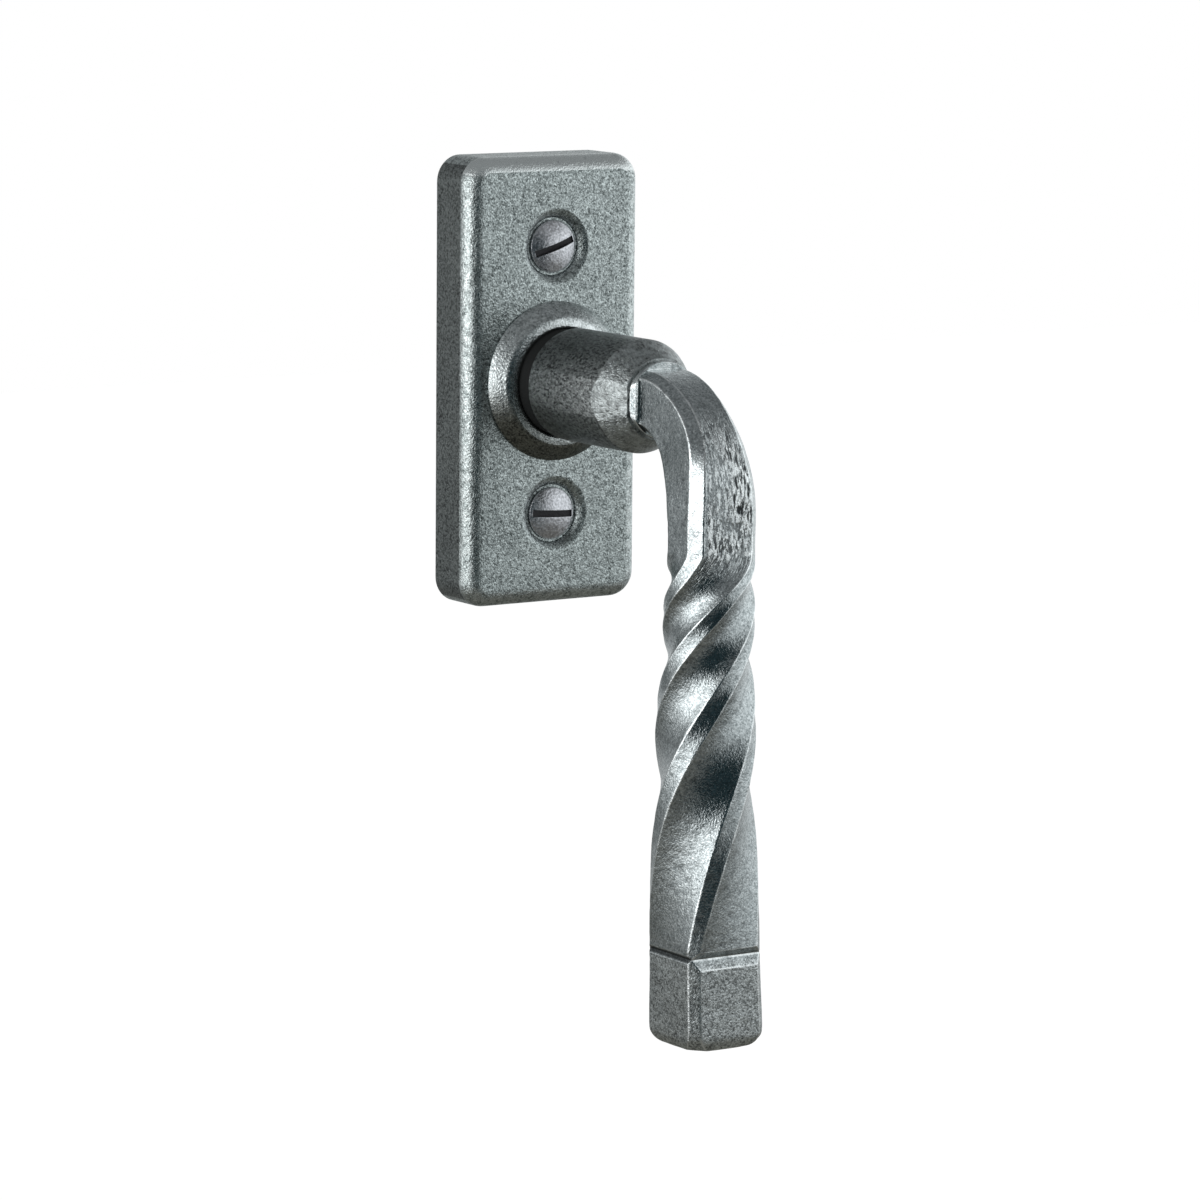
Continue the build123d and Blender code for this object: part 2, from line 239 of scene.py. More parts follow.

# %% [markdown]
# ## Wear, grime and scale
#
# Three things happen to the bare steel. Rubbing lights it up and smooths it, grime darkens it, and
# on the outside of the bend the scale from the forge has flaked off in strokes along the bar. The
# marks for rubbing and grime also carry painted highlights and painted shade in some places. The
# strokes could follow object space, but there they would cut across the bend. The mesh therefore
# keeps where each point was on the straight bar, and the strokes are drawn there.

# %% What happens to the steel
STROKES = (0.36, 0.36, 1.3)
BROAD_STROKES = (0.8, 0.8, 1.8)
FLAKE_COLOUR = (0.98, 1.0, 1.0)
CRACK_COLOUR = (0.01, 0.012, 0.013)
FLAKE_LIFT = 0.2
CRACK_DEPTH = 0.12


def add_grime_and_shade(tree, body, roughness, share, grime_and_shade_colour):
    """Darken the steel where the mesh is marked, for grime and painted shade, most in dark grain."""
    grime_and_shade = mark_of(tree, "grime_and_shade")
    darkest = tuple(c * 0.2 for c in grime_and_shade_colour)
    grimy_and_shaded = blend_colour(tree, remap(tree, share, 0.2, 0.75), darkest, grime_and_shade_colour)
    body = blend_colour(tree, grime_and_shade, body, grimy_and_shaded)
    return body, weighted_sum(tree, ((roughness, 1.0), (grime_and_shade, 0.1)))


def add_wear_and_highlight(tree, body, roughness, mottle, wear_and_highlight):
    """Brighten and smooth the steel where the mesh is marked, for wear and painted highlights."""
    patchy = remap(tree, mottle, 0.0, 0.8, 0.4, 1.0)
    rubbed_and_highlit = remap(tree, times(tree, mark_of(tree, "wear_and_highlight"), patchy), 0.3, 0.9)
    body = blend_colour(tree, rubbed_and_highlit, body, wear_and_highlight)
    return body, weighted_sum(tree, ((roughness, 1.0), (rubbed_and_highlit, -0.05)))


def scale_strokes(tree):
    """Cracks in the scale, 1 in a crack and 0 beside it, and the flakes that stand between them."""
    place = mark_of(tree, "straight", "Vector")
    strokes = grain(tree, stretch(tree, place, STROKES), 1.0, 2.0, 0.55)
    broad = grain(tree, stretch(tree, place, BROAD_STROKES), 1.0, 3.0, 0.6)
    narrow_cracks = remap(tree, strokes, 0.43, 0.46, 1.0, 0.0)
    broad_cracks = remap(tree, broad, 0.34, 0.37, 1.0, 0.0)
    return calculate(tree, "MAXIMUM", narrow_cracks, broad_cracks), remap(tree, strokes, 0.45, 0.58)


def add_scale(tree, body, height):
    """Light flakes and dark cracks where marked rough, dark pits, and painted shade in chisel cuts."""
    cracks, flakes = (times(tree, part, mark_of(tree, "rough")) for part in scale_strokes(tree))
    hollow = calculate(tree, "MAXIMUM", cracks, mark_of(tree, "pit"))
    body = blend_colour(tree, times(tree, flakes, 0.85), body, FLAKE_COLOUR)
    body = blend_colour(tree, times(tree, hollow, 0.95), body, CRACK_COLOUR)
    return body, weighted_sum(tree, ((height, 1.0), (flakes, FLAKE_LIFT), (cracks, -CRACK_DEPTH)))


print("strokes of scale:", STROKES, "and", BROAD_STROKES, "mm")

# %% The forged steel itself
def forged_steel(
    name, dark, light, rough, relief, lump, sparse=0.5, spread=0.12, drawn=(1, 1, 1), wear_and_highlight=None,
    grime_and_shade_colour=None, scaly=False,
):
    """Blasted forged steel between two greys.

    The lump is the grain's size, sparse is the share that stays dark, and drawn stretches the grain.
    The two after drawn are colours for wear and grime, and for painted highlights and painted shade.
    """
    material, tree, shader = new_material(name)
    where = millimetres(tree)
    grain_place = stretch(tree, where, drawn)
    clouds = remap(tree, grain(tree, where, 9.0, 3.0), 0.35, 0.65)
    mottle = remap(tree, grain(tree, where, 1.3, 3.0, 0.6), 0.3, 0.7)
    fine = remap(tree, grain(tree, grain_place, lump, 2.0, 0.7), sparse - spread, sparse + spread)
    cells, middle = cell_grain(tree, grain_place, lump)
    share = weighted_sum(tree, ((clouds, 0.08), (mottle, 0.06), (fine, 0.34), (cells, 0.52)))
    body = blend_colour(tree, share, dark, light)
    height = weighted_sum(tree, ((fine, relief), (mottle, relief), (middle, -relief)))
    roughness = remap(tree, fine, 0.0, 1.0, rough + 0.08, rough - 0.04)
    if grime_and_shade_colour:
        body, roughness = add_grime_and_shade(tree, body, roughness, share, grime_and_shade_colour)
    if wear_and_highlight:
        body, roughness = add_wear_and_highlight(tree, body, roughness, mottle, wear_and_highlight)
    if scaly:
        body, height = add_scale(tree, body, height)
    tree.links.new(body, shader.inputs["Base Color"])
    tree.links.new(roughness, shader.inputs["Roughness"])
    shader.inputs["Metallic"].default_value = 1.0
    raise_surface(tree, shader, height)
    print(name, len(tree.nodes), "nodes")
    return material


# %% Four forged finishes
plate_steel = forged_steel(
    "plate_steel",
    dark=(0.03, 0.04, 0.04),
    light=(0.82, 0.885, 0.875),
    rough=0.28,
    relief=0.026,
    lump=0.31,
    wear_and_highlight=(0.92, 0.95, 0.94),
    grime_and_shade_colour=(0.24, 0.255, 0.25),
)
neck_steel = forged_steel(
    "neck_steel",
    dark=(0.0, 0.0, 0.0),
    light=(0.56, 0.585, 0.58),
    rough=0.3,
    relief=0.04,
    lump=0.42,
    sparse=0.57,
    drawn=(0.7, 1.3, 0.7),
    wear_and_highlight=(0.66, 0.7, 0.7),
)
# The ring's worn colour is a painted highlight on its crest, and its grimy colour painted shade on its
# lower half.
ring_steel = forged_steel(
    "ring_steel",
    dark=(0.16, 0.18, 0.18),
    light=(0.95, 0.99, 0.99),
    rough=0.2,
    relief=0.022,
    lump=0.32,
    spread=0.15,
    wear_and_highlight=(0.96, 0.99, 0.99),
    grime_and_shade_colour=(0.24, 0.24, 0.21),
)
bar_steel = forged_steel(
    "bar_steel",
    dark=(0.18, 0.205, 0.21),
    light=(0.78, 0.82, 0.825),
    rough=0.12,
    relief=0.017,
    lump=0.3,
    spread=0.13,
    wear_and_highlight=(0.96, 0.98, 0.98),
    grime_and_shade_colour=(0.9, 0.94, 0.94),
    scaly=True,
)

# %% [markdown]
# ## Finishes of the small parts
#
# The screws are zinc plated, the springs blued, the base cast, and the bush is black nylon. None of
# them has as long a story as the forged steel, so one short recipe serves them all: a colour, a
# darker shade of it in a fine grain, and a little bump.

# %% Plain finishes
def plain_finish(name, colour, metal, rough, lump=0.5, shade=0.25, relief=0.01):
    """One colour with a little grain."""
    material, tree, shader = new_material(name)
    fine = remap(tree, grain(tree, millimetres(tree), lump, 3.0, 0.6), 0.3, 0.7)
    darker = tuple(c * (1 - shade) for c in colour)
    roughness = remap(tree, fine, 0.0, 1.0, rough - 0.05, rough + 0.08)
    tree.links.new(blend_colour(tree, fine, darker, colour), shader.inputs["Base Color"])
    tree.links.new(roughness, shader.inputs["Roughness"])
    shader.inputs["Metallic"].default_value = metal
    raise_surface(tree, shader, times(tree, fine, relief))
    print(name, len(tree.nodes), "nodes")
    return material


zinc_plating = plain_finish(
    "zinc_plating", (0.86, 0.86, 0.9), 0.95, 0.2, lump=0.4, shade=0.6, relief=0.03
)
# The slot's inside is painted near black as shade.
slot_shade = plain_finish("slot_shade", (0.04, 0.04, 0.045), 0.3, 0.5, shade=0.6, relief=0.03)
spring_finish = plain_finish("spring_finish", (0.2, 0.21, 0.24), 0.95, 0.3)
cast_zinc = plain_finish("cast_zinc", (0.52, 0.53, 0.55), 0.8, 0.5, lump=0.8, relief=0.03)
turned_finish = plain_finish("turned_finish", (0.45, 0.46, 0.46), 0.95, 0.3)
nylon = plain_finish("nylon", (0.012, 0.013, 0.013), 0.0, 0.6)
nylon.node_tree.nodes["Principled BSDF"].inputs["Specular IOR Level"].default_value = 0.1

# %% [markdown]
# ## Turned pieces
#
# The ring, the neck, the bush, the sleeves and the screws come off a lathe. On a computer the lathe
# is a spin: half of the outline goes once round the axis. The sharp rings that are left get a small
# bevel, because no real edge is perfectly sharp and the bevel is what catches the light.

# %% Outlines for the lathe
def arc(centre, radius, start, end, count):
    """Points on a circle, from one angle to the other in degrees."""
    turn = [radians(start + (end - start) * i / count) for i in range(count + 1)]
    return [(centre[0] + radius * cos(a), centre[1] + radius * sin(a)) for a in turn]


def bulge(start, end, bend, count):
    """Points from start up to end, on a slight arc that bends by this many degrees."""
    start, end = Vector(start), Vector(end)
    span = end - start
    out = Vector((span.y, -span.x)) * tan(radians(bend / 4)) / 2
    parts = [i / count for i in range(count)]
    return [tuple(start + span * u + out * 4 * u * (1 - u)) for u in parts]


print("a quarter circle in three steps has", len(arc((0, 0), 1, 0, 90, 3)), "points")

# %% The lathe
TURNS = 128


def spin_outline(outline, closed=True):
    """Spin a half outline of (radius, level) points round the spindle's axis."""
    bm = bmesh.new()
    points = [bm.verts.new((radius, 0, level)) for radius, level in outline]
    ends = points[1:] + points[:1] if closed else points[1:]
    edges = [bm.edges.new(pair) for pair in zip(points, ends)]
    bmesh.ops.spin(
        bm,
        geom=points + edges,
        cent=(0, 0, 0),
        axis=(0, 0, 1),
        angle=2 * pi,
        steps=TURNS,
        use_merge=True,
    )
    clean(bm)
    return bm


def round_edges(bm, edges, width, segments, material=-1):
    """A round bevel of this width on some edges."""
    bmesh.ops.bevel(
        bm,
        geom=edges,
        offset=width,
        offset_type="OFFSET",
        segments=segments,
        profile=0.5,
        affect="EDGES",
        clamp_overlap=True,
        material=material,
    )


def break_edges(bm, width, segments=2, limit=SHARP):
    """Round every edge that is sharper than the limit."""
    sharp = [e for e in bm.edges if len(e.link_faces) == 2 and e.calc_face_angle() > limit]
    round_edges(bm, sharp, width, segments)


print("the lathe turns in", TURNS, "steps")

# %% [markdown]
# ## The cover plate
#
# The plate is a shallow box, pressed or milled, with round corners and a soft front edge. A cube
# with bevelled edges gives that shape at once; an inset and an extrusion hollow it from behind. The
# bore for the ring and the dished seats of the screws are then cut with turned cutters.

# %% A hollow box
plate_wall = 2.4
plate_corner = 4.2
plate_edge = 2.8


def box_shell():
    """The plate as a hollow box, open behind."""
    bm = bmesh.new()
    depth = plate_size.z
    bmesh.ops.create_cube(bm, size=1)
    bmesh.ops.scale(bm, vec=plate_size, verts=bm.verts)
    bmesh.ops.translate(bm, vec=(0, 0, depth / 2), verts=bm.verts)
    upright = [e for e in bm.edges if abs(e.verts[0].co.z - e.verts[1].co.z) > depth / 2]
    round_edges(bm, upright, plate_corner, 12)
    front = [e for e in bm.edges if all(abs(v.co.z - depth) < 1e-4 for v in e.verts)]
    round_edges(bm, front, plate_edge, 10)
    back = [f for f in bm.faces if f.normal.z < -0.9]
    bmesh.ops.inset_region(bm, faces=back, thickness=plate_wall, use_even_offset=True)
    hollow = bmesh.ops.extrude_face_region(bm, geom=back)
    bmesh.ops.delete(bm, geom=back, context="FACES")
    deep = [v for v in hollow["geom"] if isinstance(v, bmesh.types.BMVert)]
    bmesh.ops.translate(bm, vec=(0, 0, depth - plate_wall), verts=deep)
    clean(bm)
    return bm


cover = to_object(box_shell(), "cover_plate")
print("hollow box with", len(cover.data.polygons), "faces")

# %% Cutters for the bore and the seats
ring_spigot = 10.0
head_radius = 4.2
shank_radius = 2.5
seat_radius = head_radius + 0.03
screw_hole = shank_radius + 0.15
countersink = 1.6
dish_radius = 6.2
dish_depth = 1.3
dish_roll = 2.56
dish_edge_slope = 15
dish_wall_slope = 61
dish_rim = (dish_radius + 0.3, plate_high.z + 0.08)
above, below = plate_high.z + 2, -1
screw_low, screw_high = bench_box("fixing_screw_upper")
screw_height = (screw_low.y + screw_high.y) / 2


def dish_cutter(side):
    """What a screw's seat takes out: a dish with a rolled rim, the countersink and the hole."""
    floor = plate_high.z - dish_depth
    slope = radians(dish_edge_slope)
    middle = (dish_radius + dish_roll * sin(slope), plate_high.z - dish_roll * cos(slope))
    roll = arc(middle, dish_roll, 90 + dish_edge_slope, 90 + dish_wall_slope, 10)
    outline = [(0, above), (dish_rim[0], above), dish_rim, *roll]
    outline += [(roll[-1][0], floor), (seat_radius, floor), (screw_hole, floor - countersink)]
    outline += [(screw_hole, below), (0, below)]
    bm = spin_outline(outline, closed=False)
    bmesh.ops.translate(bm, vec=(0, side * screw_height, 0), verts=bm.verts)
    return to_object(bm, "dish_cutter")


def bore_cutter():
    """What the ring's spigot needs."""
    outline = [(0, below), (ring_spigot, below), (ring_spigot, above), (0, above)]
    return to_object(spin_outline(outline, closed=False), "bore_cutter")


print("screws stand %.1f mm from the spindle" % screw_height)

# %% Cut one piece with others
def cut(thing, cutters):
    """Take the cutters' volumes out of a piece."""
    for tool in cutters:
        modifier = thing.modifiers.new("cut", "BOOLEAN")
        modifier.operation = "DIFFERENCE"
        modifier.solver = "EXACT"
        if tool.data.materials:
            modifier.material_mode = "TRANSFER"
        modifier.object = tool
    bpy.context.view_layer.update()
    graph = bpy.context.evaluated_depsgraph_get()
    result = bpy.data.meshes.new_from_object(thing.evaluated_get(graph))
    thing.modifiers.clear()
    thing.data = result
    for tool in cutters:
        bpy.data.objects.remove(tool)


cut(cover, [bore_cutter(), dish_cutter(1), dish_cutter(-1)])
print("cover plate cut to", len(cover.data.polygons), "faces")

# %% [markdown]
# A used plate is rubbed bright along its front edge, and along its top it has a painted highlight
# too; its sides are darker. Noise alone can't know that, so each face gets a mark by its place,
# which the steel's material reads. The marks go onto the mesh while it lies on the bench.

# %% Wear, a painted highlight and darker sides on the cover plate
top_rub_and_highlight, side_rub = 1.6, 0.5
flank_darkening = 0.9
flank_band = 1.3


def mark(thing, name, share_at):
    """Give each face of a piece on the bench a mark by its place."""
    layer = thing.data.attributes.new(name, "FLOAT", "FACE")
    for number, face in enumerate(thing.data.polygons):
        layer.data[number].value = share_at(face.center)


def rubbed_edge_and_highlight(place):
    """The soft front edge is rubbed brighter, and along its top it has a painted highlight."""
    side_gap = min(plate_high.x - abs(place.x), plate_high.y - abs(place.y))
    on_front = plate_high.z - plate_edge < place.z < plate_high.z - 0.05
    if not on_front or side_gap >= plate_edge:
        return 0.0
    return top_rub_and_highlight if place.y > plate_high.y - plate_edge else side_rub


def darker_flank(place):
    """The left and right sides are darker."""
    on_flank = plate_high.x - abs(place.x) < flank_band and place.z < plate_high.z - plate_edge + 0.1
    return flank_darkening if on_flank else 0.0


mark(cover, "wear_and_highlight", rubbed_edge_and_highlight)
mark(cover, "grime_and_shade", darker_flank)
install(cover, "rose_cover", "fixed", plate_steel)
flat_faces = cover.modifiers.new("flat faces", "WEIGHTED_NORMAL")
flat_faces.keep_sharp = True

# %% [markdown]
# ## Ring and bush
#
# The ring has a low upright edge, a coned flank and a crest that rolls over. Inside it the black
# bush shows as a dark band, which sets the still ring off from the turning neck. Both are plain
# lathe work: one outline each, with its round stretches as arcs.

# %% Collar ring
ring_low, ring_high = bench_box("collar_ring")
ring_radius = ring_high.x
ring_edge = 0.3
bush_radius = 8.58
lip_radius = 0.45
crest_radius = 9.2
crest_roll = arc((9.72, ring_high.z - 1.87), 1.7, 41, 77, 8)
ring_outline = [
    (ring_spigot, plate_high.z),
    (ring_radius - 0.08, plate_high.z),
    (ring_radius, plate_high.z + 0.08),
    (ring_radius, plate_high.z + ring_edge),
    *bulge((ring_radius - 0.1, plate_high.z + ring_edge + 0.12), crest_roll[0], 8, 8),
    *crest_roll,
    (crest_radius, ring_high.z),
    *arc((bush_radius + lip_radius, ring_high.z - lip_radius), lip_radius, 90, 180, 5),
    (bush_radius, ring_low.z),
    (ring_spigot, ring_low.z),
]
ring = to_object(spin_outline(ring_outline), "ring")
print("ring: %.1f mm across" % (2 * ring_radius))

# %% Painted shade and painted highlight on the ring
crest_band = 0.22
ring_underside_shade = 0.95
crest_shade_share = 0.25
crest_highlight = 0.7


def on_crest(place):
    """Whether a place is on the band at the ring's front."""
    return place.z > ring_high.z - crest_band


def shaded_underside(place):
    """Painted shade darkens the ring's lower half, and the crest only a little."""
    share = ring_underside_shade * min(max(-place.y / 6, 0), 1)
    return crest_shade_share * share if on_crest(place) else share


def highlit_crest(place):
    """The crest has a painted highlight above the spindle."""
    return crest_highlight if on_crest(place) and place.y > 2 else 0.0


mark(ring, "grime_and_shade", shaded_underside)
mark(ring, "wear_and_highlight", highlit_crest)
install(ring, "collar_ring", "fixed", ring_steel)

# %% Bearing bush
bush_low, bush_high = bench_box("bearing_bush")
bush_bore = 7.05
bush_outside = bush_radius - 0.03
flange_thickness = 0.8
flange_front = ring_low.z
flange_back = flange_front - flange_thickness
bush = spin_outline(
    [
        (bush_bore, bush_low.z),
        (bush_outside, bush_low.z),
        (bush_outside, flange_back),
        (bush_high.x, flange_back),
        (bush_high.x, flange_front),
        (bush_outside, flange_front),
        (bush_outside, bush_high.z),
        (bush_bore, bush_high.z),
    ]
)
break_edges(bush, 0.12)
install(to_object(bush, "bush"), "bearing_bush", "fixed", nylon)

# %% [markdown]
# ## The neck
#
# The neck carries the bar. Its thick body ends in a cone, and its journal runs back through the
# bush to the detent. The journal has two flats for the cam and a square hole for the spindle, which
# are cut after the turning, just as they would be on a real one.

# %% The neck on the lathe
neck_low, neck_high = bench_box("neck")
clip_low, clip_high = bench_box("retaining_ring")
neck_radius = neck_high.x
journal_radius = 7.0
shoulder = bush_high.z + 0.1
cone_length = 4.8
cone_end = 6.5
tenon_bore = 5.03
tenon_bore_end = neck_high.z - 12.3
groove_radius = 6.6
neck_outline = [
    (0, neck_low.z),
    (journal_radius, neck_low.z),
    (journal_radius, clip_low.z),
    (groove_radius, clip_low.z),
    (groove_radius, clip_high.z),
    (journal_radius, clip_high.z),
    (journal_radius, shoulder),
    (neck_radius, shoulder),
    (neck_radius, neck_high.z - cone_length),
    (cone_end, neck_high.z),
    (tenon_bore, neck_high.z),
    (tenon_bore, tenon_bore_end),
    (0, tenon_bore_end),
]
neck_bm = spin_outline(neck_outline, closed=False)
break_edges(neck_bm, 0.2, segments=3, limit=radians(20))
neck = to_object(neck_bm, "neck_body")
print("neck turned:", len(neck.data.polygons), "faces")

# %% Flats and square hole
flat = 6.0
flats_end = bench_box("detent_cam")[1].z + 0.1
square = 3.53
square_end = 20.3
facet_share = 0.935
facet_angle = atan2(facet_share * (neck_radius - cone_end), cone_length)


def slab(low, high, name):
    """A plain box between two corners."""
    bm = bmesh.new()
    bmesh.ops.create_cube(bm, size=1)
    bmesh.ops.scale(bm, vec=Vector(high) - Vector(low), verts=bm.verts)
    bmesh.ops.translate(bm, vec=(Vector(high) + Vector(low)) / 2, verts=bm.verts)
    return to_object(bm, name)


facet_tool = slab((-6, -12, -20), (0, 12, 8), "facet_tool")
facet_tool.data.transform(Matrix.Rotation(facet_angle, 4, "Y"))
facet_tool.data.transform(Matrix.Translation((-facet_share * cone_end, 0, neck_high.z)))
right_flat = slab((flat, -10, -2), (12, 10, flats_end), "right_flat")
left_flat = slab((-12, -10, -2), (-flat, 10, flats_end), "left_flat")
square_hole = slab((-square, -square, -2), (square, square, square_end), "square_hole")
cut(neck, [right_flat, left_flat, square_hole, facet_tool])
print("neck cut to", len(neck.data.polygons), "faces")

# %% Wear on the neck
cone_rub = 0.65


def facet_place(level):
    """Where the flat on the cone's left lies at a level."""
    return -facet_share * cone_end - tan(facet_angle) * (neck_high.z - level)


def ground_cone(place):
    """The cone and the flat on its left are ground brighter than the body."""
    on_cone = place.z > neck_high.z - cone_length
    on_flat = place.z > shoulder and place.x < facet_place(place.z) + 0.02
    return cone_rub if on_cone or on_flat else 0.0


mark(neck, "wear_and_highlight", ground_cone)
install(neck, "neck", "lever", neck_steel)

# %% [markdown]
# ## The twisted bar
#
# A smith bends a square bar, clamps its foot in the vice and turns it three quarters round while
# part of it is hot. The heat fades towards the foot, and so does the twist. Here a ring of points is
# extruded along the bar, a short step at a time, and each new ring is laid out to the section at
# that place: bent, turned, and with the chisel cuts and the bevel of the foot taken off. A twist
# modifier on a straight box would be quicker but turns evenly, which is what a machine does.

# %% Where the bar runs
bar_start = neck_high.z + 0.6
bend_radius = 14.25
bend_length = bend_radius * pi / 2
grip_length = 99.5
bow = 0.8
twist_turn = 270.0
twist_top = 21.8
twist_length = 61.6
twist_fading = 1.9
twist_easing = 0.02


def ease(part):
    """Smooth rise from 0 to 1 as part goes from 0 to 1."""
    part = min(max(part, 0), 1)
    return part * part * (3 - 2 * part)


def drop_at(along):
    """Drop below the spindle of a place on the straight length."""
    return along - bend_length + bend_radius


def bar_frame(along):
    """Middle, sideways and outward direction of the bar at a distance along it."""
    angle = min(along / bend_radius, pi / 2)
    height = bend_radius * (cos(angle) - 1) - max(along - bend_length, 0)
    below_top = max(drop_at(along) - twist_top, 0) / (grip_length - twist_top)
    sideways = -bow * sin(pi * min(below_top, 1))
    middle = Vector((sideways, height, bar_start + bend_radius * sin(angle)))
    side = Vector((1, 0, 0))
    length = Vector((0, -sin(angle), cos(angle)))
    return middle, side, length.cross(side)


def twist_at(drop):
    """Turn of the section in radians: quick at the top and fading towards the foot."""
    part = min(max((drop - twist_top) / twist_length, 0), 1)
    eased = sqrt(part * part + twist_easing**2) - twist_easing
    full = sqrt(1 + twist_easing**2) - twist_easing
    return radians(twist_turn) * (1 - exp(-twist_fading * eased / full)) / (1 - exp(-twist_fading))


print("bar: %.1f mm along its middle" % (bend_length + grip_length - bend_radius))

# %% Sizes of the section
root_width, flat_width = 9.4, 12.4
widening_start, widening_share = 0.4, 0.72
flat_thickness = 9.8
bend_swelling, swelling_share = 1.7, 1.26
twist_square, foot_square = 12.0, 13.7
foot_flare = 0.4
squaring_length = 6.5
growing_length = 32
chisel_place = 84.7
root_corner = 1.45
corner_growth = 0.35
twist_corner = 0.7


def section_sizes(along):
    """Width, thickness, corner cut and inward swelling of the section."""
    drop = drop_at(along)
    part = along / bend_length
    swell = bend_swelling * sin(min(part / swelling_share, 1) * pi) ** 2
    growing = ease((drop - twist_top - squaring_length) / growing_length)
    square = twist_square + (foot_square - twist_square) * growing
    square += foot_flare * ease((drop - chisel_place) / (grip_length - chisel_place))
    squaring = ease((drop - twist_top) / squaring_length)
    twisted = min(max((drop - twist_top) / twist_length, 0), 1)
    corner = root_corner + corner_growth * (ease(part) - ease(twisted))
    corner += twist_corner * sin(pi * twisted)
    widening = ease((part - widening_start) / widening_share)
    width = root_width + (flat_width - root_width) * widening
    width += (square - width) * squaring
    thickness = flat_thickness + (square - flat_thickness) * squaring + swell
    return width, thickness, corner, swell


print("foot: %.1f x %.1f mm" % section_sizes(bend_length + grip_length - bend_radius)[:2])

# %% Outline of the section
SIDE_STEPS, CUT_STEPS = 26, 6
EDGE_PLACES = (0, 1 / 3, 2 / 3)
POINTS = 4 * (SIDE_STEPS + CUT_STEPS) + 8 * len(EDGE_PLACES)
edge_tangent = 0.26
lean_outwards = 1.3


def section_outline(width, thickness, corner, lean):
    """Points round an oblong with cut corners, whose eight edges are slightly rounded.

    The front left cut leans a little to the left, as the hammer left it.
    """
    x, y = width / 2, thickness / 2
    outer_half = ((x, y - corner), (x - corner, y), (corner - x, y), (-x, y - corner))
    corners = [Vector(place) for place in outer_half]
    corners += [-place for place in corners]
    corners[2].x -= lean * corner
    corners[3].y -= lean_outwards * lean * corner
    points = []
    for number, place in enumerate(corners):
        after = corners[(number + 1) % 8]
        start = place + (corners[number - 1] - place).normalized() * edge_tangent
        end = place + (after - place).normalized() * edge_tangent
        stop = after + (place - after).normalized() * edge_tangent
        points += [start.lerp(place, u).lerp(place.lerp(end, u), u) for u in EDGE_PLACES]
        steps = SIDE_STEPS if number % 2 else CUT_STEPS
        points += [end.lerp(stop, step / steps) for step in range(steps)]
    half = SIDE_STEPS // 2
    return points[-half:] + points[:-half]


print(POINTS, "points round the section")

# %% What the hammer and the chisel leave
chamfer_lean = 0.4
lean_start, lean_rise = 14, 5.5
lean_back = 0.17
lean_end = 5
chisel_width = 2.8
chisel_depth = 0.95
chisel_upper_share = 0.42
nick_depth = 0.4
nick_reach = 0.55
foot_round_height = 2.3
foot_round_inset = 1.5
foot_corner_height = 3.8
foot_corner_growth = 1.3


def lean_at(along):
    """Lean of the front left cut: back at the neck, forward along the bend, none in the twist."""
    lean = chamfer_lean * ease((along - lean_start) / lean_rise) - lean_back
    return lean * ease((twist_top + lean_end - drop_at(along)) / lean_end)


def chisel_at(drop):
    """Depth of the chisel's cuts at a drop: first the deep ones, then the shallow ones.

    The twist has turned the deep ones to the front and back, and the shallow ones to the sides.
    """
    slope = drop - chisel_place
    share = chisel_upper_share if slope < 0 else 1 - chisel_upper_share
    notch = chisel_depth * max(1 - abs(slope) / (chisel_width * share), 0)
    return notch, nick_depth * max(1 - abs(slope) / nick_reach, 0)


def rounded(left, height):
    """How far a rounded end has drawn in, from 0 at this height above the end to 1 at the end."""
    part = 1 - min(left / height, 1)
    return 1 - sqrt(1 - part * part)


print("chisel cuts: %.2f and %.2f mm deep" % chisel_at(chisel_place))

# %% Lay out a ring of points
def clamp(value, limit):
    """Keep a value between minus and plus the limit."""
    return min(max(value, -limit), limit)


def lay_out(ring, along, straight, shrink=1.0):
    """Place a ring's points on the section at a distance along the bar.

    The layer called straight keeps where each point was on the bar before it was bent and twisted.
    """
    width, thickness, corner, swell = section_sizes(along)
    middle, side, out = bar_frame(along)
    drop = drop_at(along)
    turn = twist_at(drop)
    notch, nick = chisel_at(drop)
    inset = foot_round_inset * rounded(grip_length - drop, foot_round_height)
    corner += foot_corner_growth * rounded(grip_length - drop, foot_corner_height)
    outline = section_outline(width - 2 * inset, thickness - 2 * inset, corner, lean_at(along))
    for point, (x, y) in zip(ring, outline):
        x = clamp(x, width / 2 - notch) * shrink
        y = clamp(y, thickness / 2 - nick) * shrink - swell / 2
        point[straight] = (x, y, along)
        x, y = x * cos(turn) - y * sin(turn), x * sin(turn) + y * cos(turn)
        point.co = middle + side * x + out * y


STEP, FINE_STEP = 0.32, 0.16
fine_reach = 3


def bar_steps():
    """Distances along the bar, closer together round the chisel cuts and at the foot."""
    along, steps = 0.0, []
    end = bend_length + grip_length - bend_radius
    while along < end:
        steps.append(along)
        drop = drop_at(along)
        fine = abs(drop - chisel_place) < fine_reach or grip_length - drop < fine_reach
        along += FINE_STEP if fine else STEP
    return steps + [end]


print(len(bar_steps()), "steps along the bar")

# %% Tenon and collar
tenon = [(0.01, -12), (2.5, -12), (4.6, -12), (5, -11.6), (5, -6), (5, 0)]
collar = [(5.4, 0), (5.4, 0.22), (5.95, 0.22), (6.1, 0.32), (6.1, 1.1), (6.0, 1.2)]
collar_flat = 5.82
collar_lean = 0.4


def extrude_ring(bm, ring):
    """One more ring of points, joined to the last by faces."""
    edges = [bm.edges.get((a, b)) for a, b in zip(ring, ring[1:] + ring[:1])]
    made = bmesh.ops.extrude_edge_only(bm, edges=edges)["geom"]
    fresh = {v for v in made if isinstance(v, bmesh.types.BMVert)}
    return [next(e.other_vert(v) for e in v.link_edges if e.other_vert(v) in fresh) for v in ring]


